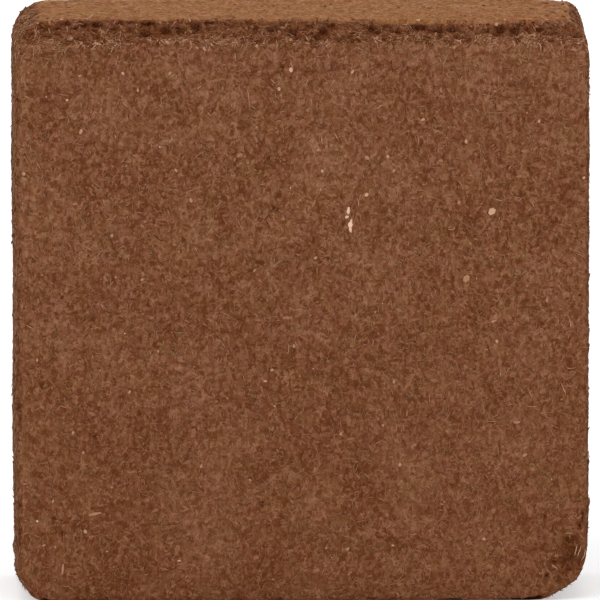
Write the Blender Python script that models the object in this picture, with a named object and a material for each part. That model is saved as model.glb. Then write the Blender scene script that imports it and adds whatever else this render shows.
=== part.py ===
"""A pressed block of coconut coir, standing upright on one of its narrow sides.

Metres, +Z up. The origin is under the middle of the block, on the surface it stands on. Its rough square
face looks along -Y. The block starts as a box with cuts across it, and every point of the box is then
moved by the same few rules: edges and corners are drawn in, one hollow is broken out, and the surfaces
are roughened.
"""

from collections import namedtuple
from math import cos, exp, hypot, pi, radians, sin

import bmesh
import bpy
from mathutils import Vector, noise

WIDTH = 0.300
DEPTH = 0.120
HEIGHT = 0.3045
HALF = Vector((WIDTH, DEPTH, HEIGHT)) / 2

# Cuts lie close together beside the box's edges, where the shape changes most, and evenly between them.
# The crumbled band is cut finer along its length.
CUTS_BESIDE_EDGE = (0.0033, 0.0066, 0.010, 0.015, 0.021, 0.029)
CUT_SPACING = 0.0122
BAND_CUTS = 2

# Each side of the box as its axis and the way it faces.
SIDES = {
    "left": (0, -1),
    "right": (0, 1),
    "front": (1, -1),
    "back": (1, 1),
    "foot": (2, -1),
    "top": (2, 1),
}

# An edge between two sides is drawn in over a reach along each of them. A power of 2 makes it round, 1 cuts
# it straight and less than 1 hollows it. Ragged is the share by which the reaches come and go along it,
# and rough is the height of the lumps on what is left. Behind is the share of the reaches left at the back.
Edge = namedtuple("Edge", "one other reach_one reach_other power ragged rough behind", defaults=[1])
CRUMBLED_BAND = Edge("front", "top", 0.0155, 0.0092, 0.60, 0.20, 0.0016)
WORN_EDGES = (
    CRUMBLED_BAND,
    Edge("front", "left", 0.0034, 0.0034, 1.2, 0.50, 0.0004),
    Edge("front", "right", 0.0034, 0.0034, 1.8, 0.40, 0.0004),
    Edge("front", "foot", 0.0034, 0.0034, 1.4, 0.40, 0.0),
    Edge("back", "top", 0.0034, 0.0034, 1.8, 0.45, 0.0006),
    Edge("back", "left", 0.0040, 0.0040, 1.4, 0.45, 0.0005),
    Edge("back", "right", 0.0040, 0.0040, 1.4, 0.45, 0.0005),
    Edge("back", "foot", 0.0034, 0.0034, 1.4, 0.40, 0.0),
)
OUTLINE_CORNERS = (
    Edge("left", "top", 0.0190, 0.0190, 2.0, 0.0, 0.0),
    Edge("right", "top", 0.0125, 0.0170, 2.0, 0.0, 0.0006),
    Edge("left", "foot", 0.0140, 0.0150, 1.5, 0.0, 0.0005, 0.25),
    Edge("right", "foot", 0.0265, 0.0265, 2.0, 0.0, 0.0009),
)
RAGGED_LENGTH = 0.016

# A shallow hollow broken out of the face beside the lower right corner.
HOLLOW_FROM_RIGHT = 0.010
HOLLOW_ABOVE_FOOT = 0.021
HOLLOW_ACROSS = 0.011
HOLLOW_UP = 0.013
HOLLOW_DEPTH = 0.0045

# The block narrows a little from its top to its foot.
FOOT_NARROWER = 0.0012

# Low swells on the two rough faces, and pressed layers, parallel to those faces, on the side walls.
# A surface belongs to a rough face where its normal has at least this much of the Y axis in it.
FACE_NORMAL_Y = 0.7
SWELL = 0.0008
SWELL_LENGTH = 0.040
LUMP = 0.0005
LUMP_LENGTH = 0.017
LEDGE = 0.0007
LEDGE_THICKNESS = 0.019
LEDGE_LENGTH = 0.150
ROUGH_LENGTH = 0.008

# Faces that meet at a sharper angle than this keep a hard edge between them.
SHARP_ANGLE = radians(40)


def depth_below(point, side):
    axis, way = SIDES[side]
    return HALF[axis] - way * point[axis]


def set_depth_below(point, side, depth):
    axis, way = SIDES[side]
    point[axis] = way * (HALF[axis] - depth)


def cut_places(length):
    """Distances from one end at which a length of the box is cut."""
    first, last = CUTS_BESIDE_EDGE[-1], length - CUTS_BESIDE_EDGE[-1]
    count = round((last - first) / CUT_SPACING)
    between = [first + (last - first) * i / count for i in range(1, count)]
    return [*CUTS_BESIDE_EDGE, *between, *(length - place for place in CUTS_BESIDE_EDGE)]


def in_band(point):
    return (
        depth_below(point, "front") <= CRUMBLED_BAND.reach_one
        and depth_below(point, "top") <= CRUMBLED_BAND.reach_other
    )


def cut_band_finer(box):
    """Cuts the long faces of the crumbled band, and those beside it, again along its length."""
    long_edges = [
        edge
        for edge in box.edges
        if all(in_band(vert.co) for vert in edge.verts) and edge.calc_length() > CUT_SPACING / 2
    ]
    bmesh.ops.subdivide_edges(box, edges=long_edges, cuts=BAND_CUTS, use_grid_fill=True)


def cut_box():
    """A box of the block's size, centred on the origin and cut across along each of its axes."""
    box = bmesh.new()
    bmesh.ops.create_cube(box, size=1)
    bmesh.ops.scale(box, vec=2 * HALF, verts=box.verts)
    for axis, length in enumerate(2 * HALF):
        normal = Vector((axis == 0, axis == 1, axis == 2))
        for place in cut_places(length):
            bmesh.ops.bisect_plane(
                box,
                geom=[*box.verts, *box.edges, *box.faces],
                plane_co=normal * (place - length / 2),
                plane_no=normal,
            )
    cut_band_finer(box)
    return box


def wave(point, length):
    """Smooth noise between about -1 and 1, with lumps of about the given length."""
    return noise.noise(point / length)


def draw_in(point, edge):
    """Draws the square edge between two sides in onto a curved one. Returns whether the point is near it."""
    run = 3 - SIDES[edge.one][0] - SIDES[edge.other][0]
    along = Vector((point[run], SIDES[edge.one][1], SIDES[edge.other][1]))
    share = 1 + edge.ragged * wave(along, RAGGED_LENGTH)
    share *= 1 - (1 - edge.behind) * depth_below(point, "front") / DEPTH
    reach_one, reach_other = edge.reach_one * share, edge.reach_other * share
    u = 1 - depth_below(point, edge.one) / reach_one
    v = 1 - depth_below(point, edge.other) / reach_other
    if u <= 0 or v <= 0:
        return False
    outermost = max(u, v)
    angle = pi / 4 * min(u, v) / outermost
    if u < v:
        angle = pi / 2 - angle
    u = outermost * cos(angle) ** (2 / edge.power)
    v = outermost * sin(angle) ** (2 / edge.power)
    set_depth_below(point, edge.one, reach_one * (1 - u))
    set_depth_below(point, edge.other, reach_other * (1 - v))
    return True


def break_hollow(point):
    """Sinks the shallow hollow into the face, beside the lower right corner."""
    across = (depth_below(point, "right") - HOLLOW_FROM_RIGHT) / HOLLOW_ACROSS
    up = (depth_below(point, "foot") - HOLLOW_ABOVE_FOOT) / HOLLOW_UP
    inside = exp(-(hypot(across, up) ** 2))
    set_depth_below(point, "front", depth_below(point, "front") + HOLLOW_DEPTH * inside)


def shaped(start):
    """The place on the block of one point of the box, and the height of the lumps there."""
    point, rough = start.copy(), 0
    on_face = depth_below(start, "front") < CUTS_BESIDE_EDGE[0] / 2
    for edge in (*WORN_EDGES, *OUTLINE_CORNERS):
        if draw_in(point, edge):
            rough = max(rough, edge.rough)
    if on_face:
        break_hollow(point)
    point.x *= 1 - FOOT_NARROWER / WIDTH * depth_below(point, "top") / HEIGHT
    return point, rough


def relief(point, normal, rough):
    """How far the finished surface stands out at a point."""
    if abs(normal.y) > FACE_NORMAL_Y:
        height = SWELL * wave(point, SWELL_LENGTH) + LUMP * wave(point, LUMP_LENGTH)
    else:
        layered = Vector((point.x / LEDGE_LENGTH, point.y / LEDGE_THICKNESS, point.z / LEDGE_LENGTH))
        height = LEDGE * noise.noise(layered)
    return height + rough * wave(point, ROUGH_LENGTH)


def coir_mesh():
    """The block's mesh, closed and centred on the origin."""
    block = cut_box()
    roughness = {}
    for vert in block.verts:
        vert.co, roughness[vert] = shaped(vert.co)
    block.normal_update()
    for vert in block.verts:
        if depth_below(vert.co, "foot") > CUTS_BESIDE_EDGE[0] / 2:
            vert.co += vert.normal * relief(vert.co, vert.normal, roughness[vert])
    bmesh.ops.recalc_face_normals(block, faces=block.faces)
    mesh = bpy.data.meshes.new("coir_bale")
    block.to_mesh(mesh)
    block.free()
    mesh.shade_smooth()
    mesh.set_sharp_from_angle(angle=SHARP_ANGLE)
    return mesh


def coir_material():
    material = bpy.data.materials.new("pressed_coir")
    material.use_nodes = True
    shader = material.node_tree.nodes["Principled BSDF"]
    shader.inputs["Base Color"].default_value = (0.18, 0.073, 0.033, 1)
    shader.inputs["Roughness"].default_value = 0.95
    shader.inputs["Metallic"].default_value = 0
    return material


def main():
    for old in list(bpy.data.objects):
        bpy.data.objects.remove(old)
    bale = bpy.data.objects.new("coir_bale", coir_mesh())
    bale.data.materials.append(coir_material())
    bale.location.z = HALF.z
    parts = bpy.data.collections.new("coconut_coir_bale")
    bpy.context.scene.collection.children.link(parts)
    parts.objects.link(bale)


main()
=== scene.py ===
"""The looks of a pressed block of coconut coir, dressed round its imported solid.

The body is the solid itself, cut finer and roughened. Pith grains, short fibres, crumbs and pale flecks of
husk are sown on its surface as joined meshes. Metres, +Z up; the block's rough face looks along -Y.
"""

from functools import partialmethod
from itertools import product
from math import cos, pi, radians, sin

import bmesh
import bpy
import numpy as np
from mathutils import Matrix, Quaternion, Vector
from mathutils.bvhtree import BVHTree


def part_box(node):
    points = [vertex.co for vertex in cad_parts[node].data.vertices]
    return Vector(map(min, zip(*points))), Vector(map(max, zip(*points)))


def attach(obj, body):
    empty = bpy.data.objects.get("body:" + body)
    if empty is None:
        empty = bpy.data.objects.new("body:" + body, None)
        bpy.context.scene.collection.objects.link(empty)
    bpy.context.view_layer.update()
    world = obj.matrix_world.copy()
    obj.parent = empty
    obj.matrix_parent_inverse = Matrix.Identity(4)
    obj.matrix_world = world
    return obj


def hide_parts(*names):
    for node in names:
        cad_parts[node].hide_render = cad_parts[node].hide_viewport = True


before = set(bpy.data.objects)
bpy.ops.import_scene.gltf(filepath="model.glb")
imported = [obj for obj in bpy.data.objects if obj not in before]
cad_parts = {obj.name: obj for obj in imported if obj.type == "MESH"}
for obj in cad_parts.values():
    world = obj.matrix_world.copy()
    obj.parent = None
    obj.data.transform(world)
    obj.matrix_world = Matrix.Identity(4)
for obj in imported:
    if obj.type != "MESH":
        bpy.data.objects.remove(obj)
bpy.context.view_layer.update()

MM = 0.001
LOW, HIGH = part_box("coir_bale")
FRONT, BACK, TOP = LOW.y, HIGH.y, HIGH.z
LEFT, RIGHT = LOW.x, HIGH.x

# How far the outline's corners are drawn in, as in the solid.
CORNER_REACH = {"upper left": 19 * MM, "upper right": 14 * MM, "lower left": 14 * MM, "lower right": 26 * MM}

# How far back the crumbled band along the upper front edge reaches, and the parts of its lip with tufts.
BAND_BACK = 17.5 * MM
TUFTS = MM * np.array(((-127, -93), (-53, -22), (114, 127)))

# The broken hollow beside the lower right corner: its middle and its reach, across and up. It is darkened
# with painted shade.
HOLLOW = (0.1405, 0.0235), (0.0085, 0.012)

# How far inside the solid's outline the photograph's is: millimetres above the foot, then millimetres in
# from the left and in from the right. They fade out between two distances from the side, and those on the
# right towards the back too.
OUTLINE_SHIFTS = (
    (0, 1, 2.4), (1.8, 0, 2.6), (3.3, 1, 2.2), (6, 0.8, 2.4), (8.6, 1.6, 0.6), (11.2, 2, 0.2),
    (13.9, 0.8, 0.5), (16.5, 0.7, 0.5), (21.8, 1.5, 0.4), (32, 1.1, 0), (53, 0.7, 0), (106, 0.5, -0.2),
    (158, 0.8, 0), (211, 0.1, 0.2), (263, 0.4, 0.2), (289, 0.4, 0.3), (297, 0.1, 0.8), (303, 0, 1),
)
SHIFT_NEAR, SHIFT_FAR = 18 * MM, 70 * MM

# How round patches of the upper right corner's back move: millimetres right of the middle and above the
# foot, the patch's reach, and how far it moves right and up.
BACK_SHIFTS = (
    (146.5, 299.5, 7, 0.85, 0.85), (138, 305, 3.5, 0, -1.2), (130, 305, 5, 0, -0.8),
)

# Where the photograph was taken from, and how many of its pixels show a metre. The face's middle and the
# foot of its front are given as a pixel across and a pixel down.
AZIMUTH, ELEVATION = radians(-1.6), radians(6.7)
TO_CAMERA = Vector((sin(AZIMUTH) * cos(ELEVATION), -cos(AZIMUTH) * cos(ELEVATION), sin(ELEVATION)))
CAMERA_DISTANCE = 15.0
PHOTO_SIDE = 600
SCALE = 1916
FACE_MIDDLE_PX, FOOT_PX = 302.35, 602.0
FACE_PLANE = -0.06
SENSOR_WIDTH = 36

# Where the photograph shows the crumbled band to begin and to end: pixel across, then the pixels down.
BAND_ENDS = (
    (12, 23, 36), (35, 21, 42), (60, 20, 42), (100, 19.5, 42), (150, 19, 39), (215, 20, 39), (260, 21, 41),
    (330, 21.5, 42), (350, 22, 42), (372, 24, 41), (440, 24.5, 41), (500, 24.5, 38), (530, 22.5, 37.5),
    (560, 22, 37.5), (588, 24, 37.5),
)

# Hollows in the band: pixel across and down in the photograph, half width, half height, and depth up to 1.
# The depth both digs each hollow and darkens it with painted shade.
BAND_HOLLOWS = (
    (19, 31, 3, 2, 0.8), (32, 34, 3, 2, 0.6), (45, 28, 9, 4, 0.65), (49, 36.5, 4, 2, 0.8),
    (58, 27, 4, 3.5, 0.8), (61, 38, 3, 2, 0.8), (67, 24, 7, 2.5, 0.85), (80, 22, 5, 2, 0.8),
    (74, 28, 5, 2.5, 0.7), (84, 25, 5, 3, 0.8), (96, 25, 8, 3, 0.85), (95, 30.5, 4, 2, 0.8),
    (78, 38.5, 3, 3, 0.8), (97, 38.5, 4, 3, 0.7), (120, 24, 5, 2.5, 0.8), (113, 29, 4, 3, 0.7),
    (130, 22.5, 6, 1.5, 0.6), (130, 30, 4, 3, 0.6), (147, 24, 9, 2.5, 0.85), (146, 34, 9, 4.5, 0.75),
    (166, 30, 9, 5.5, 0.8), (179, 29, 4, 4, 1), (196, 27, 7, 5, 0.9), (210, 22.5, 8, 2.2, 0.8),
    (212, 28, 8, 3, 0.5), (165, 39, 4, 2, 0.7), (223, 37, 3, 3, 0.8), (232, 28, 9, 4, 0.45),
    (241, 38.5, 5, 2, 0.7), (252, 39, 6, 2, 0.7), (255, 30, 5, 5, 0.6), (272, 30, 8, 3, 0.85),
    (281, 25, 5, 2, 0.5), (293, 32, 6, 3.5, 0.9), (296, 38, 4, 2.5, 0.7), (311, 27, 4, 3, 0.5),
    (323, 31, 6, 5, 1), (317, 37, 6, 3, 0.9), (330, 26, 6, 2.5, 0.6), (345, 37, 4, 2, 0.6),
    (339, 40, 5, 2, 0.7), (362, 41, 9, 1.6, 0.8), (354, 29, 4, 4, 0.4), (372, 28.5, 8, 2.8, 0.85),
    (376, 32.5, 7, 2, 0.7), (386, 26.5, 5, 2, 0.7), (397, 31, 9, 2.4, 0.85), (397, 37, 7, 2, 0.4),
    (420, 27, 10, 4, 0.95), (411, 25, 4, 2, 0.8), (438, 30, 9, 3.5, 0.9), (440, 37, 3, 4, 0.7),
    (453, 29, 8, 3.5, 0.8), (457, 37, 2.5, 2.5, 0.8), (470, 28, 7, 2, 0.4), (487, 30.5, 5, 2.5, 0.75),
    (501, 29, 7, 4.5, 0.95), (497, 34, 6, 3, 0.7), (516, 31, 6, 6, 0.95), (521, 25, 5, 2, 0.7),
    (528, 31, 6, 4, 0.7), (541, 29, 6, 3, 1), (556, 29, 5, 2.5, 0.6), (553, 34.5, 7, 2, 0.6),
    (566, 35.5, 8, 1.8, 0.8), (579, 37, 6, 1.8, 0.8),
)

# Small hollows in the rest of the front, in the same numbers, but their depth is in millimetres. Each is
# dented and darkened with painted shade.
PITS = (
    (273.5, 207.5, 2.6, 3, 1.2), (277, 210, 3.6, 2.8, 1.4), (322, 125, 3.2, 3.2, 0.8),
    (262, 504, 3.2, 2.8, 1), (94, 437, 2.6, 2.6, 0.9), (93, 319, 2.6, 2.6, 0.9), (52, 518, 4, 2.4, 0.9),
    (61, 534, 2.6, 3.6, 0.6), (583.6, 514, 2.2, 5.5, 1.6), (583, 521, 2.4, 2.2, 1.4),
    (580, 526, 2.2, 4.6, 1.5), (545, 517, 2.6, 3.4, 0.9), (570, 539, 5, 2.2, 1.2), (573.5, 554, 2.4, 5, 1),
    (556, 573, 3.2, 3.2, 1.3), (548.5, 576, 2.6, 2.6, 1.2), (562, 580, 4, 2, 1), (555, 562, 2.2, 3, 0.8),
    (17.5, 406, 2.6, 5, 1), (18.5, 420, 2.4, 4.2, 0.9), (17, 506, 2.6, 6, 1), (17.5, 528, 2.4, 5, 1),
    (580, 18, 3, 5, 1), (112, 598, 10, 1.6, 0.3), (379, 65, 2.2, 2.4, 0.7), (113, 380, 2.2, 2.4, 0.6),
    (311, 363, 2.6, 2.4, 0.7), (159, 333, 2.2, 2.4, 0.6), (291, 78, 2, 2.4, 0.5), (425, 242, 2.4, 3, 0.7),
    (438, 223, 2.2, 1.6, 0.5), (344, 223, 1.8, 3, 0.6), (283, 68, 2.2, 2.6, 0.6), (324, 72, 2, 2.4, 0.6),
    (188, 141, 2.4, 2.8, 0.6), (264, 145, 2, 2.4, 0.5), (33, 498, 2.4, 2.6, 0.6), (61, 298, 2.2, 2.2, 0.5),
    (150, 281, 2.2, 2.2, 0.5), (288, 263, 2.2, 2.6, 0.5), (137, 117, 2.6, 1.8, 0.5), (415, 127, 2, 2.6, 0.5),
    (88, 420, 2.2, 2.2, 0.5), (199, 60, 2.4, 3.4, 0.4),
)

# Undersides at the foot that are nearly black in the photograph, in the numbers of PITS. Each is dented a
# little and painted near black as shadow.
UNDERSIDES = (
    (506, 601.4, 16, 2, 0.2), (522, 600.9, 12, 2.4, 0.2), (535, 600, 8, 2.4, 0.2), (544, 598, 5, 2, 0.3),
    (44, 600.8, 4, 2, 0.3), (452, 600.8, 14, 1.8, 0.2),
)

# Bits pressed into the top's skin, dark but for a few at the band's right end: pixel across and down, half
# width and half height in pixels, and shade.
SKIN_BITS = (
    (262, 5.5, 1.4, 0.8, 0.58), (273, 4.7, 1.8, 0.7, 0.58), (325, 5.1, 1.4, 0.8, 0.48),
    (331, 3, 1.4, 0.9, 0.46), (399, 6.6, 1.8, 0.9, 0.62), (234, 17, 1.8, 0.8, 0.5),
    (353, 19.5, 2.4, 0.8, 0.46), (429.6, 8.2, 2.6, 0.6, 0.6), (465.6, 16.6, 2.2, 0.7, 0.46),
    (484.2, 5.4, 1.7, 1.5, 0.36), (532.2, 8.8, 3.2, 0.6, 0.46), (553, 12.6, 3.8, 0.6, 0.54),
    (547, 16.5, 2.6, 0.7, 0.54), (564, 17.2, 3.2, 0.9, 0.48), (530, 21.3, 2, 0.7, 0.46),
    (566, 11.4, 2, 1.3, 0.46), (547, 2.6, 3.5, 0.5, 0.5), (564, 3.8, 1.8, 0.6, 0.42),
    (568, 21.8, 4.2, 2, 0.88), (561, 25.5, 2.6, 1.2, 0.74), (576, 26.5, 2.6, 1.8, 0.74),
    (579, 17.5, 2, 1, 0.1), (580, 21.5, 2, 1, 0.1), (574, 12.5, 2, 0.8, 0.28), (571, 16, 2.6, 0.8, 0.32),
)

# Pale fibres that stand out in the photograph: the pixels across and down of their two ends.
STRANDS = (
    (34.5, 27, 34, 40), (36, 41, 47, 42.5), (47, 42.5, 58, 41.5), (58, 42, 64, 38.5), (64, 38.5, 72, 36),
    (35, 45, 34, 60), (41, 44, 38, 56), (49, 27, 50, 33), (67, 25, 68, 31), (74, 21, 79, 20.5),
    (77, 22.5, 84, 24), (91, 31, 95, 34), (100, 26, 98, 32), (104, 30, 109, 40), (101, 33, 103, 38),
    (109, 28, 105, 34), (113, 24, 116, 20), (116, 36, 115, 43), (122, 30, 120.5, 41), (120.5, 41, 121, 48),
    (124, 33, 126, 38), (147, 39, 153, 41), (155, 38, 160, 40), (160, 40, 164, 43), (177, 21, 171, 27),
    (178, 37, 181, 40), (190, 35, 200, 34), (200, 38, 203, 42), (204, 36, 207, 41), (209, 40, 214, 35.5),
    (214, 36, 218, 40), (221, 34, 222, 39), (236, 38, 242, 37), (243, 36, 247, 40), (255, 37, 256, 41),
    (262, 31, 263, 36), (275, 29, 278, 36), (279, 33, 276, 43), (286, 33, 293, 38), (284, 38, 288, 41),
    (318, 20, 323, 22), (337, 33, 340, 38), (337, 22, 342, 25), (357, 37, 361, 39), (363, 35, 369, 34),
    (371, 37, 377, 40), (398, 41, 402, 43), (402, 25, 408, 26), (406, 23, 412, 30), (416, 36, 414, 41),
    (418, 33, 421, 41), (423, 33, 422, 40), (472, 43, 478, 37), (480, 41, 485, 36), (507, 39, 517, 38),
    (524, 38, 533, 40), (532, 26, 535, 33), (533, 38, 537, 41), (540, 40, 543, 37), (549, 25, 553, 29),
    (556, 37, 570, 37), (566, 39, 580, 40), (562, 22, 568, 25), (566, 19, 572, 23), (59.5, 585, 75, 591.5),
    (567.7, 316, 570.8, 331), (561.5, 384, 566.3, 396), (552, 566, 558, 571), (547, 571, 552, 575),
    (565, 535, 573, 534), (580, 535, 584, 540), (577, 547, 575, 557), (582, 547, 578, 558),
    (585.5, 550, 582, 562), (568, 518, 573, 524),
)

# Pale flecks of husk: pixel across and down in the photograph, length and width, lean from upright, shade.
FLECKS = (
    (348.3, 211.6, 5.9, 1.9, 10, 0.9), (346.9, 217, 2.4, 1.8, 70, 0.8), (350.9, 222.5, 4.2, 1.4, 12, 0.75),
    (350.3, 225, 3.2, 2.6, 0, 1), (350.4, 229.5, 3.8, 1.6, -4, 0.8), (366.5, 195, 2.4, 2.1, 40, 0.5),
    (320.6, 189.6, 1.7, 1.4, 0, 0.2), (322.3, 171, 2.2, 1.6, 0, 0.45), (315.5, 258, 2.4, 1.7, 60, 0.2),
    (492, 212, 5, 3.6, 45, 0.5), (466.5, 279, 4.6, 3.4, 35, 0.15), (291, 70, 2.8, 2.2, 0, 0.6),
    (423, 120, 2.4, 1.4, 60, 0.35), (539, 122, 2.2, 1.4, 20, 0.35), (123, 73, 2.2, 1.6, -30, 0.4),
    (138, 90, 2.4, 1.5, 0, 0.2), (367, 158, 3.2, 2.2, -50, 0.1), (37, 520.5, 1.5, 1.4, 0, 0.6),
    (85, 531, 2.4, 1.8, -20, 0.25), (94, 513.5, 8, 1.6, 78, 0.1), (62.4, 568.5, 6.4, 1.3, 4, 0.1),
    (179, 560.5, 2.1, 1, 90, 0.45), (584, 178.5, 2, 1.4, 50, 0.5), (81, 131, 3.2, 1.8, 20, 0.3),
    (279, 89, 2.4, 1.8, 0, 0.45), (272, 370, 2.2, 1.6, 60, 0.2), (466, 142, 2.4, 1.8, 0, 0.3),
    (201, 466, 2.2, 1.6, 30, 0.15), (191, 200, 2.6, 1.8, -20, 0.2), (24, 173, 2.2, 2, 0, 0.25),
    (142, 279, 2.2, 1.6, 80, 0.15), (73, 432, 2, 1.6, 0, 0.2), (170, 73, 2.4, 1.8, 40, 0.15),
    (497, 342, 2.2, 1.6, 0, 0.3), (257, 46, 2.2, 1.8, 0, 0.2), (394, 382, 2.2, 1.6, 0, 0.2),
    (400, 465, 2.2, 1.6, 0, 0.25), (176, 170, 2.4, 1.6, -30, 0.2), (112, 235, 2.2, 1.6, 0, 0.15),
    (294, 346, 2.2, 1.6, 0, 0.15), (83, 452, 2.2, 1.6, 0, 0.15), (517, 423, 4, 1.6, 85, 0.1),
    (525, 456, 3, 1.8, 60, 0.05), (459, 203, 2.4, 1.8, 0, 0.05), (547, 301, 2.6, 1.8, 0, 0.05),
    (394, 171, 2.4, 1.8, 30, 0.05),
)

# The longest edges of the body's mesh, how far down the band's go, and how often edges may be halved.
BAND_EDGE, FACE_EDGE, OTHER_EDGE = 1.7 * MM, 2.3 * MM, 4.5 * MM
BAND_DOWN = 11.5 * MM
HALVINGS = 5
RELAXING_ROUNDS = 4

# Shades of coir in sRGB, from a tone of 0 to one of 1.
FACE_SHADES = (0.2, (61, 23, 3)), (0.42, (95, 52, 28)), (0.54, (119, 76, 51)), (0.8, (156, 114, 88))
# The skin's shades are paler partly by painted light from above.
SKIN_AND_TOP_LIGHT_SHADES = (0.22, (120, 71, 38)), (0.5, (147, 98, 61)), (0.78, (171, 124, 87))
GRAIN_SHADES = (0.08, (77, 35, 10)), (0.42, (103, 60, 35)), (0.62, (123, 81, 55)), (0.94, (149, 108, 81))
FIBRE_SHADES = (0.04, (80, 37, 11)), (0.3, (111, 68, 41)), (0.6, (145, 104, 77)), (0.95, (192, 150, 122))
TORN_SHADES = (0.04, (72, 27, 2)), (0.3, (106, 58, 29)), (0.6, (150, 105, 76)), (0.95, (201, 157, 128))
HUSK_SHADES = (0.1, (156, 113, 86)), (0.5, (188, 146, 119)), (1, (222, 182, 156))
# The colour of painted shade, of the near-black painted shadow under the foot, and of pale fibres.
SHADE_COLOUR, UNDERSIDE_SHADOW_COLOUR, PALE = (56, 17, 1), (22, 9, 3), (166, 120, 89)

# The size of the chips that the material draws.
CHIP_THICK, CHIP_LONG = 1.5 * MM, 3.1 * MM

# How far a tint moves green for each step by which it moves red and blue.
GREENER = -0.7

# The tone halfway up the rough face, and how much the tone rises with each metre above that: painted light
# from above, so the coir is darker towards the foot.
FACE_TONE = 0.519
PAINTED_LIGHT_RISE = 0.105
MIDDLE_HEIGHT = 0.15

# How much the gaps between chips (painted shade in the crevices), wear and each pattern move the tone.
# Chips, clumps and what lies loose differ less near the foot: two heights, and the share at each.
GAP_SHADE_TONE, WORN_TONE = -0.06, 0.1
FINE_SHARE, BROAD_SHARE, LAYER_SHARE = 0.06, 0.23, 0.34
CHIP_SHARES = 0.05, 0.2, 0.155, 0.18
CLUMP_SHARES = 0, 0.16, 0.21, 0.3
LOOSE_SHARES = (0.05, 0.2), (0.75, 1)


def srgb(*colour):
    """A colour given as 0 to 255 sRGB numbers, as the linear colour that a shader takes."""
    parts = [value / 255 for value in colour]
    return (*[p / 12.92 if p <= 0.04045 else ((p + 0.055) / 1.055) ** 2.4 for p in parts], 1)


def ease(low, high, values):
    """0 below low, 1 above high, and a smooth rise between. High may be the lower one."""
    share = np.clip((values - low) / (high - low), 0, 1)
    return share * share * (3 - 2 * share)


def ease_mm(low, high, values):
    """The same, with low and high in millimetres."""
    return ease(low * MM, high * MM, values)


def unit(vectors):
    return vectors / np.maximum(np.linalg.norm(vectors, axis=-1, keepdims=True), 1e-12)


def noise_at(points, size, seed):
    """Smooth noise in about -1 to 1 at each point. Size is in millimetres, for all axes or for each."""
    rng = np.random.default_rng(seed)
    gradients = unit(rng.normal(size=(256, 3)))
    order = rng.permutation(256)
    scaled = points / (MM * np.array(size))
    cell = np.floor(scaled).astype(int)
    local = scaled - cell
    fade = local**3 * (local * (local * 6 - 15) + 10)
    total = np.zeros(len(points))
    for corner in product((0, 1), repeat=3):
        x, y, z = (cell + corner).T
        index = order[(order[(order[x & 255] + y) & 255] + z) & 255]
        weight = np.where(corner, fade, 1 - fade).prod(axis=1)
        total += weight * (gradients[index] * (local - corner)).sum(axis=1)
    return total * 1.5


def lumps_at(points, size, seed):
    """Rounded lumps with creases between them, from about -1 in a crease to 1 on a lump."""
    return 3.2 * np.abs(noise_at(points, size, seed)) - 1


def column(items, name, width, kind):
    """One property of every item in a mesh's list, as an array."""
    found = np.empty((len(items), width), kind)
    items.foreach_get(name, found.ravel())
    return found


def points_and_normals(mesh):
    normals = column(mesh.vertex_normals, "vector", 3, np.float32)
    return column(mesh.vertices, "co", 3, float), normals.astype(float)


def move_points(mesh, points):
    mesh.vertices.foreach_set("co", points.ravel())
    mesh.update()


def set_values(mesh, name, values):
    """Keeps a number for each point of a mesh, under a name that materials read."""
    mesh.attributes.new(name, "FLOAT", "POINT").data.foreach_set("value", values.astype(np.float32))


def fill(node, inputs):
    """Sets a node's inputs, and links those that are given another node's output."""
    for key, value in inputs.items():
        if isinstance(value, bpy.types.NodeSocket):
            node.id_data.links.new(value, node.inputs[key])
        else:
            node.inputs[key].default_value = value


def linked(name, data):
    """A new object in the scene."""
    thing = bpy.data.objects.new(name, data)
    bpy.context.scene.collection.objects.link(thing)
    return thing


def add_piece(name, mesh, material):
    """Puts a mesh in the scene as a piece of the block."""
    mesh.materials.append(material)
    mesh.shade_smooth()
    piece = linked(name, mesh)
    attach(piece, "root")
    return piece


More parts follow.
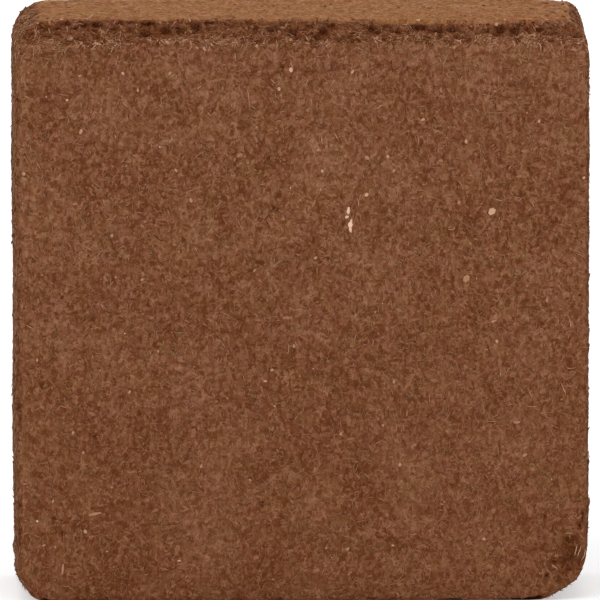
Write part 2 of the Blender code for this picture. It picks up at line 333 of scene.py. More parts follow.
class Shader:
    """Builds one material's node tree. Sizes are the lengths of a pattern's repeats, in metres."""

    def __init__(self, name):
        self.material = bpy.data.materials.new(name)
        self.material.use_nodes = True
        self.tree = self.material.node_tree
        self.place = self.add("TexCoord").outputs["Object"]

    def add(self, kind, inputs=None, **settings):
        node = self.tree.nodes.new("ShaderNode" + kind)
        for key, value in settings.items():
            setattr(node, key, value)
        fill(node, inputs or {})
        return node

    def value(self, name):
        """A number kept at each point of the mesh."""
        return self.add("Attribute", attribute_name=name).outputs["Fac"]

    def math(self, operation, *values):
        return self.add("Math", dict(enumerate(values)), operation=operation).outputs[0]

    plus = partialmethod(math, "ADD")
    minus = partialmethod(math, "SUBTRACT")
    times = partialmethod(math, "MULTIPLY")

    def moved(self, *way):
        """The place, moved, so that two patterns of one size differ."""
        return self.add("VectorMath", {0: self.place, 1: way}, operation="ADD").outputs[0]

    def stretched(self, sizes, place=None):
        """The place divided by a size for each axis."""
        inputs = {0: place or self.place, 1: [1 / size for size in sizes]}
        return self.add("VectorMath", inputs, operation="MULTIPLY").outputs[0]

    def noise(self, size, place=None, detail=2, roughness=0.5, distortion=0):
        """Noise with lumps of one size, or of a size for each axis."""
        if isinstance(size, tuple):
            place, size = self.stretched(size, place), 1
        inputs = {"Vector": place or self.place, "Scale": 1 / size, "Detail": detail}
        inputs |= {"Roughness": roughness, "Distortion": distortion}
        return self.add("TexNoise", inputs).outputs["Fac"]

    def between(self, value, low, high, out_low=0, out_high=1):
        """The value's way from low to high, smoothed, as a number from out_low to out_high."""
        inputs = {"Value": value, "From Min": low, "From Max": high, "To Min": out_low, "To Max": out_high}
        return self.add("MapRange", inputs, interpolation_type="SMOOTHSTEP").outputs["Result"]

    def ramp(self, value, stops):
        """A colour for the value, from pairs of a place and a colour."""
        node = self.add("ValToRGB", {"Fac": value})
        elements = node.color_ramp.elements
        while len(elements) < len(stops):
            elements.new(0.5)
        for element, (place, colour) in zip(elements, stops):
            element.position, element.color = place, colour
        return node.outputs["Color"]

    def tinted(self, tone, stops, size=9 * MM, reach=1):
        """A colour for the tone that wanders between a redder and a more olive tint from place to place."""
        redder, olive = (
            self.ramp(tone, [(at, srgb(r + way, g + GREENER * way, b + way)) for at, (r, g, b) in stops])
            for way in (reach, -reach)
        )
        return self.mix(self.between(self.noise(size, detail=3), 0.35, 0.65), redder, olive)

    def mix(self, share, first, second):
        """Two colours mixed. A Mix node's colours are its inputs 6 and 7 and its output 2."""
        return self.add("Mix", {"Factor": share, 6: first, 7: second}, data_type="RGBA").outputs[2]

    def finish(self, colour, roughness, height, depth):
        """Wires the colour, the roughness and a bump of the given depth."""
        bump = self.add("Bump", {"Height": height, "Distance": depth, "Strength": 1}).outputs["Normal"]
        look = {"Base Color": colour, "Roughness": roughness, "Specular IOR Level": 0.02, "Normal": bump}
        fill(self.tree.nodes["Principled BSDF"], look)
        return self.material


def fibre_lines(shader, size, thickness, seed):
    """Thin curling lines: where a slow noise passes its middle value, broken off by another noise."""
    place = shader.moved(seed, 1.7 * seed, -0.6 * seed)
    field = shader.noise(size, place, detail=0.6, distortion=0.35)
    line = shader.between(shader.math("ABSOLUTE", shader.minus(field, 0.5)), 0, thickness, 1, 0)
    whole = shader.noise(1.3 * size, shader.moved(-seed, seed, 2 * seed), detail=0)
    return shader.times(line, shader.between(whole, 0.48, 0.54))


def chips(shader, place, level):
    """The shade of each chip, and 1 along the gaps between them. Level says where they lie flat."""
    shades, edges = [], []
    for sizes in ((CHIP_THICK, CHIP_THICK, CHIP_LONG), (CHIP_LONG, CHIP_THICK, CHIP_THICK)):
        inputs = {"Vector": shader.stretched(sizes, place), "Scale": 1}
        colour = shader.add("TexVoronoi", inputs).outputs["Color"]
        shades.append(shader.add("SeparateColor", {"Color": colour}).outputs["Red"])
        gap = shader.add("TexVoronoi", inputs, feature="DISTANCE_TO_EDGE").outputs["Distance"]
        edges.append(shader.between(gap, 0.02, 0.14, 1, 0))
    return [shader.plus(a, shader.times(level, shader.minus(b, a))) for a, b in (shades, edges)]


def rough_tone(shader, gap, chip, fine, layer):
    """The tone of the rough faces and layered walls, from chips, grain, clumps, broad areas and layers."""
    clump = shader.noise((3.3 * MM, 3.3 * MM, 4.2 * MM), roughness=0.6)
    broad = shader.noise(34 * MM, detail=4, roughness=0.62)
    up = shader.add("SeparateXYZ", {"Vector": shader.place}).outputs["Z"]
    # The tone rises with height: painted light from above, darker towards the foot.
    tone = shader.math("MULTIPLY_ADD", up, PAINTED_LIGHT_RISE, FACE_TONE - PAINTED_LIGHT_RISE * MIDDLE_HEIGHT)
    # The gaps between chips get a painted shade.
    tone = shader.math("MULTIPLY_ADD", gap, GAP_SHADE_TONE, tone)
    tone = shader.math("MULTIPLY_ADD", shader.value("worn"), WORN_TONE, tone)
    shares = (
        (chip, shader.between(up, *CHIP_SHARES)),
        (fine, FINE_SHARE),
        (clump, shader.between(up, *CLUMP_SHARES)),
        (broad, BROAD_SHARE),
        (layer, shader.times(shader.value("wall"), LAYER_SHARE)),
    )
    for part, share in shares:
        tone = shader.plus(tone, shader.times(shader.minus(part, 0.5), share))
    return tone


def coir_material():
    """Rough faces, layered walls, a paler skin on the top, partly painted light from above, and painted shade
    in hollows, by the mesh's numbers.
    """
    shader = Shader("pressed_coir")
    wall, top, painted_shade = (shader.value(name) for name in ("wall", "top", "painted_shade"))
    plus, minus, times = shader.plus, shader.minus, shader.times

    # Chips of unlike shade, some upright and some flat, and fine grain. The walls have thin layers too.
    stir = shader.add("TexNoise", {"Vector": shader.place, "Scale": 1 / (2.2 * MM), "Detail": 1})
    stirred = shader.mix(0.0016, shader.place, stir.outputs["Color"])
    level = shader.between(shader.noise(5 * MM, detail=1), 0.49, 0.59)
    chip, gap = chips(shader, stirred, level)
    fine = shader.noise((0.9 * MM, 0.9 * MM, 1.1 * MM), detail=3, roughness=0.62)
    layer = shader.noise((40 * MM, 4 * MM, 40 * MM), detail=3)
    face = shader.tinted(rough_tone(shader, gap, chip, fine, layer), FACE_SHADES)
    curls = (fibre_lines(shader, 4 * MM, 0.03, 0.37), fibre_lines(shader, 6 * MM, 0.02, 0.91))
    pale = shader.math("MAXIMUM", *curls)
    face = shader.mix(times(pale, 0.4), face, srgb(*PALE))

    # The top's skin: powdery, and paler partly by its own colour and partly by painted light from above.
    powder = shader.noise((1.8 * MM, 4.5 * MM, 1.8 * MM), detail=3, roughness=0.6)
    patch = shader.noise((5 * MM, 14 * MM, 5 * MM), detail=3, roughness=0.6)
    skin_tone = minus(plus(times(powder, 1.15), times(patch, 0.85)), 0.5)
    skin = shader.tinted(skin_tone, SKIN_AND_TOP_LIGHT_SHADES, size=14 * MM, reach=1.8)
    skinned = times(wall, top)
    colour = shader.mix(skinned, face, skin)

    # Painted shade from the mesh's number, frayed at its edges, and nearly black painted shadow where the
    # number passes 1.
    frayed_shade = times(painted_shade, shader.between(fine, 0.3, 0.72, 1.15, 0.55))
    colour = shader.mix(times(frayed_shade, 0.95), colour, srgb(*SHADE_COLOUR))
    colour = shader.mix(shader.between(painted_shade, 1, 1.5), colour, srgb(*UNDERSIDE_SHADOW_COLOUR))

    height = plus(times(fine, 0.6), times(pale, 0.3))
    height = plus(height, times(times(layer, wall), 0.5))
    height = shader.math("MULTIPLY_ADD", gap, -0.2, height)
    height = times(height, minus(1, times(skinned, 0.95)))
    height = plus(height, times(times(powder, skinned), 0.2))
    return shader.finish(colour, shader.between(fine, 0.3, 0.7, 0.84, 1), height, 0.1 * MM)


def loose_material(name, stops):
    """Grains or fibres, each of one shade that its mesh gives, with a little grain of its own."""
    shader = Shader(name)
    fine = shader.noise(0.6 * MM, roughness=0.6)
    tone = shader.plus(shader.value("shade"), shader.between(fine, 0.2, 0.8, -0.1, 0.1))
    rough = shader.between(fine, 0.3, 0.7, 0.8, 0.98)
    return shader.finish(shader.tinted(tone, stops), rough, fine, 0.06 * MM)


def finer_solid():
    """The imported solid, cut until its edges are short: shortest in the band and on the rough front face."""
    work = bmesh.new()
    work.from_mesh(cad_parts["coir_bale"].data)
    bmesh.ops.remove_doubles(work, verts=work.verts, dist=0.001 * MM)

    def longest(edge):
        middle = (edge.verts[0].co + edge.verts[1].co) / 2
        if middle.y < FRONT + BAND_BACK and middle.z > TOP - BAND_DOWN:
            return BAND_EDGE
        return FACE_EDGE if middle.y < FRONT + 2 * MM else OTHER_EDGE

    for _ in range(HALVINGS):
        long_edges = [edge for edge in work.edges if edge.calc_length() > longest(edge)]
        bmesh.ops.subdivide_edges(work, edges=long_edges, cuts=1)
        bmesh.ops.triangulate(work, faces=[face for face in work.faces if len(face.verts) > 3])
    mesh = bpy.data.meshes.new("coir_body")
    work.to_mesh(mesh)
    work.free()
    return mesh


def relaxed(points, mesh, held):
    """Points drawn towards their neighbours, so that the solid's facets run into each other."""
    edges = column(mesh.edges, "vertices", 2, np.int32)
    ends = np.concatenate([edges, edges[:, ::-1]])
    count = np.bincount(ends[:, 0], minlength=len(points))[:, None]
    for _ in range(RELAXING_ROUNDS):
        near = [np.bincount(ends[:, 0], points[ends[:, 1], axis], len(points)) for axis in range(3)]
        points = np.where(held[:, None], points, (points + np.stack(near, axis=1) / count) / 2)
    return points


def depth_inside(points):
    """How far each point lies inside the block's rounded outline, seen from the front."""
    x, _, z = points.T
    sides, ends = {"left": x - LEFT, "right": RIGHT - x}, {"upper": TOP - z, "lower": z}
    depth = np.minimum(np.minimum(*sides.values()), np.minimum(*ends.values()))
    for corner, reach in CORNER_REACH.items():
        end, side = corner.split()
        across, up = reach - sides[side], reach - ends[end]
        depth = np.where((across > 0) & (up > 0), reach - np.hypot(across, up), depth)
    return depth


def at_pixel(across_px, down_px):
    """Where the plane of the front face is at a pixel of the photograph."""
    x = (across_px - FACE_MIDDLE_PX) / SCALE
    return Vector((x, FACE_PLANE, (FOOT_PX - down_px) / SCALE / cos(ELEVATION)))


def in_photo(points):
    """The pixels across and down at which the photograph shows each point."""
    middle = PHOTO_SIDE / 2
    offset = points - np.array(at_pixel(middle, middle))
    right = np.array((cos(AZIMUTH), sin(AZIMUTH), 0))
    up = np.cross(TO_CAMERA, right)
    return middle + offset @ right * SCALE, middle - offset @ up * SCALE


def dome(across, up):
    """1 in the middle of a round patch, falling smoothly to 0 around it."""
    return np.exp(-(np.hypot(across, up) ** 2))


def patches(points, normals, table, turned=0):
    """The share of each round patch in a table of the front, and its depth.

    They lie on what is turned towards the camera by more than the given share."""
    across_px, down_px = in_photo(points)
    seen = ease(turned, turned + 0.2, normals @ np.array(TO_CAMERA)) * (points[:, 1] < FRONT + 20 * MM)
    for middle, row, half_width, half_height, depth in table:
        yield seen * dome((across_px - middle) / half_width, (down_px - row) / half_height), depth


def band_share(points, normals):
    """The share of the crumbled band at each point, and of the top's skin where it bends down towards it."""
    behind = points[:, 1] - FRONT
    across_px, down_px = in_photo(points)
    down_px = down_px + 1.6 * noise_at(points, 5, 25)
    column, begins, ends = np.array(BAND_ENDS).T
    sunk = ease_mm(1.6, 2.4, depth_inside(points))
    facing = ease(0.3, 0.6, -normals[:, 1]) * ease_mm(5, 7, behind)
    near = ease(BAND_BACK + 3 * MM, BAND_BACK, behind) * np.maximum(sunk, facing)
    near *= ease(1, -1, down_px - np.interp(across_px, column, ends))
    begun = ease(-1, 1, down_px - np.interp(across_px, column, begins))
    return near * begun, 0.85 * near * (1 - begun)


def body_zones(points, normals):
    """The share of each zone at each point, from 0 to 1.

    Top is the pale skin, paler partly by painted light from above, corner a bent corner of the outline, edge
    the rough faces' edge, worn where the coir is paler, hollow the broken one, and sunk the hollows of the
    band."""
    x, y, z = points.T
    facing, upward = -normals[:, 1], normals[:, 2]
    inside, behind, before_back, below = depth_inside(points), y - FRONT, BACK - y, TOP - z
    ragged = 2.5 * MM * noise_at(points, 6, 21)
    squarest = np.abs(normals[:, ::2]).max(axis=1)

    middle, reach = HOLLOW
    hollow = dome((x - middle[0]) / reach[0], (z - middle[1]) / reach[1]) * (behind < 8 * MM)
    hollow *= ease_mm(1, 3, inside) * ease(0.5, 0.8, facing)
    crumbled, bent_skin = band_share(points, normals)
    band = np.maximum(crumbled, ease(0.2, 0.8, hollow))

    # On the upper right corner the skin runs further round.
    near_top = below < 30 * MM
    kept = 0.1 * ((x > 0) & near_top)
    corner = ease(0.975 - kept, 0.9 - kept, squarest)
    corner = corner * ease(0.55, 0.35, np.abs(facing)) * (1 - band)
    rim = ease_mm(7, 2.5, behind + ragged) * ease(0.97, 0.88, upward)
    rim = np.maximum.reduce([rim, ease_mm(4, 1.5, before_back + ragged), corner])
    ledge = ease_mm(18, 16, behind) * ease_mm(2.5, 3.5, np.minimum(below, inside))
    wall = ease(0.8, 0.5, np.abs(facing)) * (1 - band) * (1 - rim) * (1 - ledge)
    top = ease(0.88 - kept, 0.985 - kept, upward) * (1 - ledge)
    sunk = np.maximum.reduce([share * depth for share, depth in patches(points, normals, BAND_HOLLOWS)])
    strip = ease_mm(8, 3, np.minimum(x - LEFT, RIGHT - x)) * ease(0.6, 0.8, facing) * (1 - band)
    return {
        "wall": np.maximum(wall, bent_skin),
        "top": np.maximum(top, bent_skin),
        "band": band,
        "corner": corner,
        "edge": ease_mm(3.5, 0, inside) * ease_mm(4, 0, np.minimum(behind, before_back)),
        "hollow": hollow,
        "worn": np.maximum(corner * (x < 0) * near_top, 0.3 * strip),
        "sunk": crumbled * sunk,
    }


def shadowed(points, normals, zones, height):
    """How much shade is painted on each point: in pits, in the band's hollows, round the outline and at the
    foot.
    """
    x, y, z = points.T
    inside, below, behind, rough = depth_inside(points), TOP - z, y - FRONT, 1 - zones["wall"]
    patchy, notched = noise_at(points, 4, 22), noise_at(points, (3.5, 9, 3.5), 24)
    streaks = ease(0.1, 0.5, noise_at(points, (3, 3, 8), 28))
    crumbling = ease_mm(100, 125, x) * ease_mm(35, 20, z)
    turned = ease(0.5, 0.9, np.abs(normals[:, 0])) * ease_mm(6, 3, behind)
    lip = ease_mm(12.5, 11, below) * ease_mm(7.5, 9, below) * (behind < 6 * MM)
    # Painted shade: sunk relief, pits and undersides, the broken hollow, streaks round the outline, the lower
    # right rim, towards the foot, side bevels, the foot's line, corner notches, the band, its hollows and
    # lip.
    shades = (
        0.8 * ease(-0.4, -1.2, height) * rough,
        zones["dots"],
        0.65 * ease(0.2, 0.85, zones["hollow"] + 0.35 * noise_at(points, 6, 23)),
        0.9 * streaks * ease_mm(3, 1, inside) * rough * (normals[:, 2] < 0.6),
        0.5 * crumbling * ease_mm(2.5, 0.8, inside) * rough,
        0.11 * ease_mm(16, 11, z) * rough,
        0.6 * turned * ease(0, 0.5, patchy),
        0.3 * ease_mm(2.2, 0.6, z + MM * patchy) * rough,
        0.2 * (zones["corner"] - zones["worn"]) * ease(0, 0.5, notched),
        zones["band"] * (1 - zones["hollow"]) * (0.2 + 0.25 * notched),
        (1.45 * zones["sunk"]).clip(0, 1),
        0.9 * lip * ease(0, 0.35, notched),
    )
    return np.maximum.reduce(shades)


def shifted(points):
    """Points moved by the outline's shifts and the upper right corner's."""
    x, y, z = points.T
    height, from_left, from_right = MM * np.array(OUTLINE_SHIFTS).T
    left_share = ease(SHIFT_FAR, SHIFT_NEAR, x - LEFT)
    right_share = ease(SHIFT_FAR, SHIFT_NEAR, RIGHT - x) * ease_mm(50, -20, y)
    move = left_share * np.interp(z, height, from_left)
    move -= right_share * np.interp(z, height, from_right)
    rise = np.zeros(len(points))
    for middle, level, reach, right, up in MM * np.array(BACK_SHIFTS):
        share = np.exp(-((x - middle) ** 2 + (z - level) ** 2) / reach**2)
        share *= ease_mm(0, 50, y)
        move += right * share
        rise += up * share
    return points + np.stack([move, np.zeros(len(points)), rise], axis=1)


# The reliefs of the surface, each a sum of noises: the millimetres by which one stands out, its kind, the
# millimetres that a lump measures, or one number for each axis, and its seed.
RELIEFS = {
    "grain": ((0.24, lumps_at, 4.2, 11), (0.2, noise_at, 9, 12)),
    "layers": ((0.24, noise_at, (22, 4.5, 22), 14), (0.2, noise_at, 7, 15), (0.45, noise_at, 13, 26)),
    "skin": ((0.25, noise_at, (6, 12, 6), 27),),
    "crumbs": ((0.5, lumps_at, (8, 6, 5), 16), (0.65, noise_at, 3.4, 17)),
    "edge": ((0.55, noise_at, 3.2, 18),),
    "corner": ((0.5, lumps_at, 7, 19), (0.35, noise_at, 4, 20)),
}


def relief(points, name):
    """The millimetres by which one of the reliefs stands out at each point."""
    return sum(height * kind(points, size, seed) for height, kind, size, seed in RELIEFS[name])


def body_height(points, normals, zones):
    """The millimetres by which the surface stands out. Keeps the painted shade of the small hollows, and the
    near-black painted shadow of the undersides, as dots.
    """
    wall, top, band = zones["wall"], zones["top"], zones["band"]
    holes = 0.4 * ease(-0.55, -0.85, noise_at(points, 5, 13))
    layers = (1 - 0.6 * top) * relief(points, "layers") + top * relief(points, "skin")
    height = (1 - wall - band) * (relief(points, "grain") - holes) + wall * layers
    height += band * relief(points, "crumbs")
    height += zones["edge"] * relief(points, "edge") + zones["corner"] * relief(points, "corner")
    dots = np.zeros(len(points))
    for share, depth in patches(points, normals, PITS):
        height -= depth * share
        dots = np.maximum(dots, min(1, depth + 0.2) * ease(0.15, 0.8, share))
    # Undersides are dented a little and painted near black as shadow.
    for share, depth in patches(points, normals, UNDERSIDES, turned=-0.6):
        height -= depth * share
        dots = np.maximum(dots, 1.5 * ease(0.15, 0.6, share))
    zones["dots"] = dots
    return height


def coir_body():
    """The block's surface: the solid, cut finer, dug out in the band and roughened all over."""
    mesh = finer_solid()
    points, _ = points_and_normals(mesh)
    standing = points[:, 2] < 0.5 * MM
    move_points(mesh, relaxed(points, mesh, standing))
    points, normals = points_and_normals(mesh)
    zones = body_zones(points, normals)

    # The band is broken out deeper in its hollows.
    points -= normals * (1.5 * MM * ease(0.25, 0.8, zones["sunk"]))[:, None]
    height = body_height(points, normals, zones)
    height[standing] = 0
    # The painted shade is kept as a number on the mesh, for the materials.
    zones["painted_shade"] = shadowed(points, normals, zones, height)
    points = shifted(points + normals * height[:, None] * MM)
    points[:, 2] = np.maximum(points[:, 2], 0)
    move_points(mesh, points)
    for name in ("wall", "top", "band", "painted_shade", "worn"):
        set_values(mesh, name, zones[name])
    body = add_piece("coir_body", mesh, coir_material())
    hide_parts("coir_bale")
    return body


def across(normals, angles):
    """A direction across each normal. Angle 0 follows the pressed layers on a wall and X on a face."""
    on_face = np.abs(normals[:, 1:2]) > 0.7
    lead = unit(np.cross(np.where(on_face, (0, 0, 1), (0, 1, 0)), normals))
    other = np.cross(normals, lead)
    return lead * np.cos(angles)[:, None] + other * np.sin(angles)[:, None]


def joined_mesh(name, points, faces, shade):
    """One mesh of many like shapes. Points are (shapes, points of one, 3), and faces index one shape."""
    count, each = points.shape[:2]
    every = (np.asarray(faces)[None] + each * np.arange(count)[:, None, None]).reshape(-1, len(faces[0]))
    points[:, :, 2] = np.maximum(points[:, :, 2], 0)
    mesh = bpy.data.meshes.new(name)
    mesh.from_pydata(points.reshape(-1, 3).tolist(), [], every.tolist())
    set_values(mesh, "shade", np.repeat(shade, each))
    return mesh


GRAIN_SIDES = 6


def grain_mesh(name, rng, places, normals, angles, length, width, thick, lift, shade, uneven=1, tilt=0.16):
    """Flattened grains, half sunk: two caps on one ring, shaded apart so that the rim is crisp.

    Thick and lift are shares of the width, uneven is how ragged the ring is, and tilt how they lean."""
    count = len(places)
    tilted = unit(normals + tilt * rng.normal(size=(count, 3)))
    first = across(tilted, angles)
    second = np.cross(tilted, first)
    turn = pi / GRAIN_SIDES + np.linspace(0, 2 * pi, GRAIN_SIDES, endpoint=False)
    turn = turn + uneven * rng.uniform(-0.4, 0.4, (count, GRAIN_SIDES))
    reach = (1 + uneven * rng.uniform(-0.35, 0.25, (count, GRAIN_SIDES))) / 2
    ring = (
        (reach * np.cos(turn) * length[:, None])[:, :, None] * first[:, None]
        + (reach * np.sin(turn) * width[:, None])[:, :, None] * second[:, None]
    )
    height = (thick * width / 2)[:, None]
    centre = places + tilted * (lift * width / 2)[:, None]
    ends = np.stack([centre + tilted * height, centre - tilted * height], axis=1)
    faces, last = [], 2 * GRAIN_SIDES
    for side in range(GRAIN_SIDES):
        after = (side + 1) % GRAIN_SIDES
        faces += [(side, after, last), (GRAIN_SIDES + after, GRAIN_SIDES + side, last + 1)]
    ring = centre[:, None] + ring
    return joined_mesh(name, np.concatenate([ring, ring, ends], axis=1), faces, shade)


def fibre_paths(surface, places, normals, angles, length, curl, joints):
    """Points of each fibre as it creeps over the surface, and the normal at each."""
    count = len(places)
    headings = across(normals, angles)
    bend = surface.rng.normal(0, curl, (count, 1))
    bend = bend + surface.rng.normal(0, 0.6 * curl, (count, joints - 1))
    paths, ups = np.empty((2, count, joints, 3))
    for i in range(count):
        place, normal, heading = Vector(places[i]), Vector(normals[i]), Vector(headings[i])
        step = length[i] / (joints - 1)
        paths[i, 0], ups[i, 0] = place, normal
        for k in range(1, joints):
            heading.rotate(Quaternion(normal, bend[i, k - 1]))
            place, normal, _, _ = surface.tree.find_nearest(place + heading * step)
            heading = (heading - normal * heading.dot(normal)).normalized()
            paths[i, k], ups[i, k] = place, normal
    return paths, ups


def fibre_mesh(name, paths, ups, lifts, radius, shade):
    """Three-sided threads along the paths, raised off them by their lifts and thin at their ends."""
    count, joints = lifts.shape
    middle = paths + ups * lifts[:, :, None]
    ahead = unit(np.gradient(middle, axis=1))
    side = unit(np.cross(ahead, ups))
    above = np.cross(side, ahead)
    girth = radius[:, None] * (1 - 0.65 * np.linspace(-1, 1, joints) ** 4)
    rings = [
        middle + girth[:, :, None] * (cos(turn) * side + sin(turn) * above)
        for turn in (pi / 2, pi * 7 / 6, pi * 11 / 6)
    ]
    points = np.stack(rings, axis=2).reshape(count, joints * 3, 3)
    faces = [(0, 1, 2), (3 * joints - 1, 3 * joints - 2, 3 * joints - 3)]
    for k in range(joints - 1):
        for corner in range(3):
            a, b = 3 * k + corner, 3 * k + (corner + 1) % 3
            faces += [(a, a + 3, b + 3), (a, b + 3, b)]
    return joined_mesh(name, points, faces, shade)


def lying(rng, count, joints):
    """Lifts of fibres that lie half sunk, and come up and go under at random."""
    return (rng.uniform(0, 0.14, (count, 1)) + rng.normal(0, 0.06, (count, joints))) * MM


def sprung(rng, count, joints):
    """Lifts of fibres that are held at one end and stand off at the other."""
    along = np.linspace(0, 1, joints)[None]
    return (rng.uniform(0.1, 1, (count, 1)) ** 2 * 1.3 * along**1.6 - 0.1) * MM


class Surface:
    """The finished body, as a ground to sow grains and fibres on.

    Weight is how densely they lie at each point, size their mean length and the longest, in millimetres,
    shade the two numbers of the beta distribution of their tones, and scatter how unlike their ways are."""

    def __init__(self, mesh):
        self.rng = np.random.default_rng(20)
        self.points, self.normals = points_and_normals(mesh)
        mesh.calc_loop_triangles()
        self.triangles = column(mesh.loop_triangles, "vertices", 3, np.int32)
        self.tree = BVHTree.FromPolygons(self.points.tolist(), self.triangles.tolist())
        self.wall, self.top, self.band, self.painted_shade = (
            column(mesh.attributes[zone].data, "value", 1, np.float32)[:, 0]
            for zone in ("wall", "top", "band", "painted_shade")
        )
        facing = -self.normals[:, 1]
        self.front = ease(0.55, 0.8, facing) * (1 - self.band) * (self.points[:, 1] < 0)
        self.back = ease(-0.55, -0.8, facing)
        self.rim = (1 - self.wall - self.band - self.front - self.back).clip(0, 1)
        self.clear = self.points[:, 2] > 1.5 * MM

    def sow(self, count, weight):
        """Random places, the normals there and how much shade is painted there."""
        a, b, c = self.points[self.triangles].swapaxes(0, 1)
        area = np.linalg.norm(np.cross(b - a, c - a), axis=1)
        chance = area * (weight * self.clear)[self.triangles].mean(axis=1)
        chosen = self.triangles[self.rng.choice(len(area), count, p=chance / chance.sum())]
        shares = self.rng.dirichlet((1, 1, 1), count)[:, :, None]
        places = (self.points[chosen] * shares).sum(axis=1)
        normals = unit((self.normals[chosen] * shares).sum(axis=1))
        return places, normals, self.painted_shade[chosen].mean(axis=1)

    def tones(self, shade, hidden, heights):
        """Tones, less unlike towards the foot, darker where shade is painted and lighter further up by
        painted light.
        """
        middle = shade[0] / sum(shade)
        spread = np.interp(heights, *LOOSE_SHARES)
        tones = middle + spread * (self.rng.beta(*shade, len(heights)) - middle)
        return tones * (1 - hidden) + PAINTED_LIGHT_RISE * (heights - MIDDLE_HEIGHT)

    def grains(self, name, look, weight, count, size, narrow, shade, scatter=9, thick=0.28, lift=0.1):
        """Grains. Narrow is the range of their widths, as shares of their lengths."""
        places, normals, dark = self.sow(count, weight)
        length = self.rng.gamma(4, size[0] / 4, count).clip(0.6, size[1]) * MM
        width = length * self.rng.uniform(*narrow, count)
        angles = self.rng.normal(0, scatter, count)
        tones = self.tones(shade, 0.7 * dark, places[:, 2])
        mesh = grain_mesh(name, self.rng, places, normals, angles, length, width, thick, lift, tones)
        add_piece(name, mesh, look)

    def fibres(self, name, look, weight, count, size, girth, shade, lean=0, scatter=9, curl=0.33,
               joints=5, lifts=lying):
        """Fibres. Girth is the range of their radii in millimetres, and lean the way they mostly lie."""
        places, normals, dark = self.sow(count, weight)
        length = self.rng.gamma(3, size[0] / 3, count).clip(size[0] / 3, size[1]) * MM
        angles = self.rng.normal(lean, scatter, count) + pi * self.rng.integers(0, 2, count)
        paths, ups = fibre_paths(self, places, normals, angles, length, curl, joints)
        radius = self.rng.uniform(*girth, count) * MM
        tones = self.tones(shade, 0.6 * dark, places[:, 2])
        mesh = fibre_mesh(name, paths, ups, lifts(self.rng, count, joints), radius, tones)
        add_piece(name, mesh, look)

    def under_pixels(self, table):
        """The places and normals under the pixels, across and down, that a table's rows begin with."""
        hits = [self.tree.ray_cast(at_pixel(*row[:2]) + TO_CAMERA, -TO_CAMERA) for row in table]
        return np.array([place for place, *_ in hits]), np.array([normal for _, normal, *_ in hits])


def sow_faces(surface, pith, coir):
    """Pith grains and lying fibres on the two rough faces. More of the fibres on the front lie upright."""
    upright = {"lean": pi / 2, "scatter": 0.8}
    surface.grains("front_grains", pith, surface.front, 9000, (2.2, 4.4), (0.3, 0.65), (6, 5),
                   thick=0.13, lift=0.08)
    surface.fibres("front_fibres", coir, surface.front, 7000, (2.8, 6.5), (0.22, 0.37), (4.6, 5),
                   curl=0.06, joints=4, **upright)
    surface.fibres("front_long_fibres", coir, surface.front, 160, (6, 12), (0.16, 0.26), (3.6, 3.6),
                   curl=0.12, joints=7, **upright)
    surface.grains("pale_specks", coir, surface.front, 120, (1.4, 2.4), (0.4, 0.8), (6.5, 2.6), thick=0.3)
    surface.grains("back_grains", pith, surface.back, 4500, (1.8, 4.5), (0.35, 0.85), (3, 3))
    surface.fibres("back_fibres", coir, surface.back, 3500, (5, 14), (0.11, 0.22), (2, 2.2))


def sow_walls(surface, pith, coir):
    """Chips and fibres on the walls, mostly along the pressed layers, and finer ones on the top."""
    outside = ease(-0.5, 0, surface.normals[:, 2])
    side, skin = surface.wall * (1 - surface.top) * outside, surface.wall * surface.top
    surface.grains("side_grains", pith, side, 4200, (1.8, 5), (0.3, 0.7), (3, 3),
                   scatter=0.8, thick=0.35, lift=0.2)
    surface.grains("rim_grains", pith, surface.rim * outside, 2200, (1.7, 4), (0.35, 0.8),
                   (4.5, 3.8), thick=0.25)
    surface.grains("top_grains", coir, skin, 1800, (1.3, 3), (0.4, 0.9), (7, 5), thick=0.25, lift=0)
    surface.fibres("wall_fibres", coir, side, 2800, (5, 16), (0.1, 0.2), (2.8, 2.6), scatter=0.8, curl=0.2)
    surface.fibres("top_fibres", coir, skin, 700, (4, 11), (0.08, 0.15), (7, 3.5), curl=0.2)


def sow_band(surface, torn):
    """Crumbs in the band, and fibre ends torn loose along its lips and along the block's edges."""
    x, y, z = surface.points.T
    inside, behind, before_back, below = depth_inside(surface.points), y - FRONT, BACK - y, TOP - z
    shallow = surface.band * (1 - 0.95 * surface.painted_shade.clip(0, 1))
    surface.grains("band_crumbs", torn, shallow, 2200, (1.7, 3.8), (0.3, 0.65), (2.4, 3.8),
                   thick=0.35, lift=0.12)
    lip = ease_mm(14, 11.5, below) * ease_mm(7, 9, below) * (behind < 6 * MM)
    tuft = sum((x > low) & (x < high) for low, high in TUFTS)
    surface.grains("lip_crumbs", torn, lip * (1 + tuft), 420, (1.6, 3.2), (0.35, 0.75), (3.2, 2.8),
                   thick=0.45, lift=0.2)
    surface.fibres("lip_fibres", torn, lip * (1 + 1.5 * tuft), 1200, (2.8, 6), (0.17, 0.34), (4.8, 2),
                   curl=0.34, joints=6, lifts=sprung)
    edge = ease_mm(3, 1, inside) * ease_mm(3.5, 1, np.minimum(behind, before_back))
    weight = 0.7 * shallow + 0.7 * edge * (1 - 0.5 * (behind > before_back)) + 0.2 * surface.rim
    surface.fibres("torn_fibres", torn, weight, 2000, (3, 7), (0.14, 0.28), (3, 2.6),
                   curl=0.22, joints=6, lifts=sprung)


STRAND_JOINTS = 7


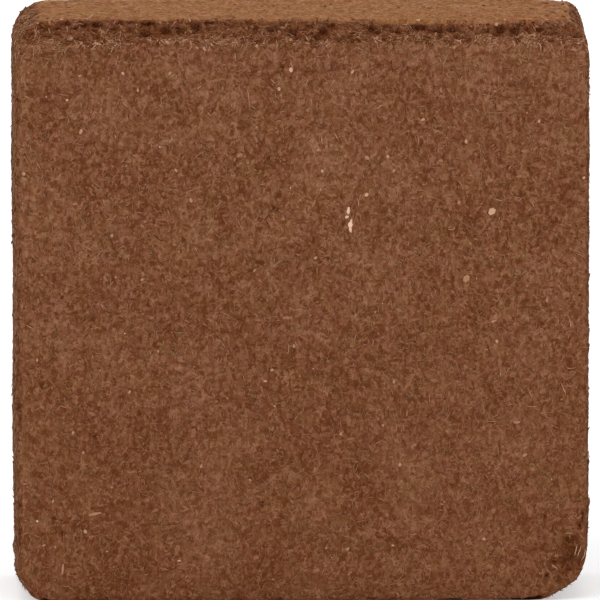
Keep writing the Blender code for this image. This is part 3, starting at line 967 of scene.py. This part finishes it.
def pale_strands(surface, torn):
    """The pale fibres that stand out in the photograph, each bowed a little between its ends."""
    rng, along = surface.rng, np.linspace(0, 1, STRAND_JOINTS)
    paths, ups = [], []
    for first, last in np.array(STRANDS).reshape(-1, 2, 2):
        way = last - first
        bow = rng.normal(0, 0.1) * 4 * along * (1 - along) + rng.normal(0, 0.02, STRAND_JOINTS)
        spots = first + along[:, None] * way + bow[:, None] * (-way[1], way[0])
        places, normals = surface.under_pixels(spots)
        paths.append(places)
        ups.append(0.3 * normals + np.array(TO_CAMERA))
    count = len(STRANDS)
    lifts = np.full((count, STRAND_JOINTS), 0.12 * MM)
    radius = rng.uniform(0.25, 0.4, count) * MM
    tones = rng.uniform(0.6, 0.9, count)
    strands = fibre_mesh("strands", np.array(paths), unit(np.array(ups)), lifts, radius, tones)
    add_piece("pale_strands", strands, torn)


def pale_flecks(surface):
    """The few pale bits of husk that lie on the front face."""
    places, normals = surface.under_pixels(FLECKS)
    places = places + (0, -0.25 * MM, 0)
    normals = unit(0.35 * normals + (0, -1, 0))
    length, width, lean, shade = np.array(FLECKS)[:, 2:].T
    angles, length, width = pi / 2 - np.radians(lean), length * MM, width * MM
    mesh = grain_mesh("flecks", surface.rng, places, normals, angles, length, width, 0.3, 0.15, shade, 0.2)
    add_piece("pale_flecks", mesh, loose_material("pale_husk", HUSK_SHADES))


def skin_bits(surface, pith):
    """The bits pressed into the skin on the top, which the camera sees at a low angle."""
    places, normals = surface.under_pixels(SKIN_BITS)
    half_width, half_height, shade = np.array(SKIN_BITS)[:, 2:].T
    seen = np.maximum(normals @ np.array(TO_CAMERA), sin(ELEVATION))
    wide, back = 2 * half_width / SCALE, 2 * half_height / SCALE / seen
    places, angles = places + 0.25 * MM * normals, np.zeros(len(places))
    bits = grain_mesh("bits", surface.rng, places, normals, angles, wide, back, 0.03, 0, shade, tilt=0)
    add_piece("skin_bits", bits, pith)


WHITE, PALE_GREY = (1, 1, 1, 1), (0.65, 0.65, 0.65, 1)


def lights():
    """A soft studio: a white surround, and one broad lamp high in front, a little to the left."""
    world = bpy.data.worlds.new("studio")
    bpy.context.scene.world = world
    world.use_nodes = True
    fill(world.node_tree.nodes["Background"], {"Color": WHITE, "Strength": 0.75})
    lamp = bpy.data.lights.new("soft_lamp", "SUN")
    lamp.angle, lamp.energy = radians(35), 1.2
    holder = linked("soft_lamp", lamp)
    holder.rotation_euler = Vector((-0.12, -0.75, 1)).to_track_quat("Z", "Y").to_euler()


def floor():
    """A plain pale floor that runs out of every view."""
    mesh = bpy.data.meshes.new("floor")
    far = 12.0
    corners = [(-far, -far, 0), (far, -far, 0), (far, far, 0), (-far, far, 0)]
    mesh.from_pydata(corners, [], [(0, 1, 2, 3)])
    look = bpy.data.materials.new("pale_floor")
    look.use_nodes = True
    glow = {"Emission Color": WHITE, "Emission Strength": 0.45}
    fill(look.node_tree.nodes["Principled BSDF"], {"Base Color": PALE_GREY, "Roughness": 0.9, **glow})
    mesh.materials.append(look)
    ground = linked("floor", mesh)
    ground.location.z = -0.2 * MM


def camera():
    """The photograph's viewpoint: far off, a little above and to the left of the face."""
    view = linked("camera", bpy.data.cameras.new("camera"))
    view.location = at_pixel(PHOTO_SIDE / 2, PHOTO_SIDE / 2) + TO_CAMERA * CAMERA_DISTANCE
    view.rotation_euler = TO_CAMERA.to_track_quat("Z", "Y").to_euler()
    view.data.sensor_width = SENSOR_WIDTH
    view.data.lens = SENSOR_WIDTH * CAMERA_DISTANCE * SCALE / PHOTO_SIDE
    view.data.clip_end = 100
    bpy.context.scene.camera = view


def dress():
    """Every visible piece of the block."""
    surface = Surface(coir_body().data)
    pith = loose_material("pith_grains", GRAIN_SHADES)
    coir = loose_material("coir_fibres", FIBRE_SHADES)
    torn = loose_material("torn_coir", TORN_SHADES)
    sow_faces(surface, pith, coir)
    sow_walls(surface, pith, coir)
    sow_band(surface, torn)
    pale_strands(surface, torn)
    pale_flecks(surface)
    skin_bits(surface, pith)


bpy.context.scene.view_settings.view_transform = "Standard"
dress()
floor()
lights()
camera()
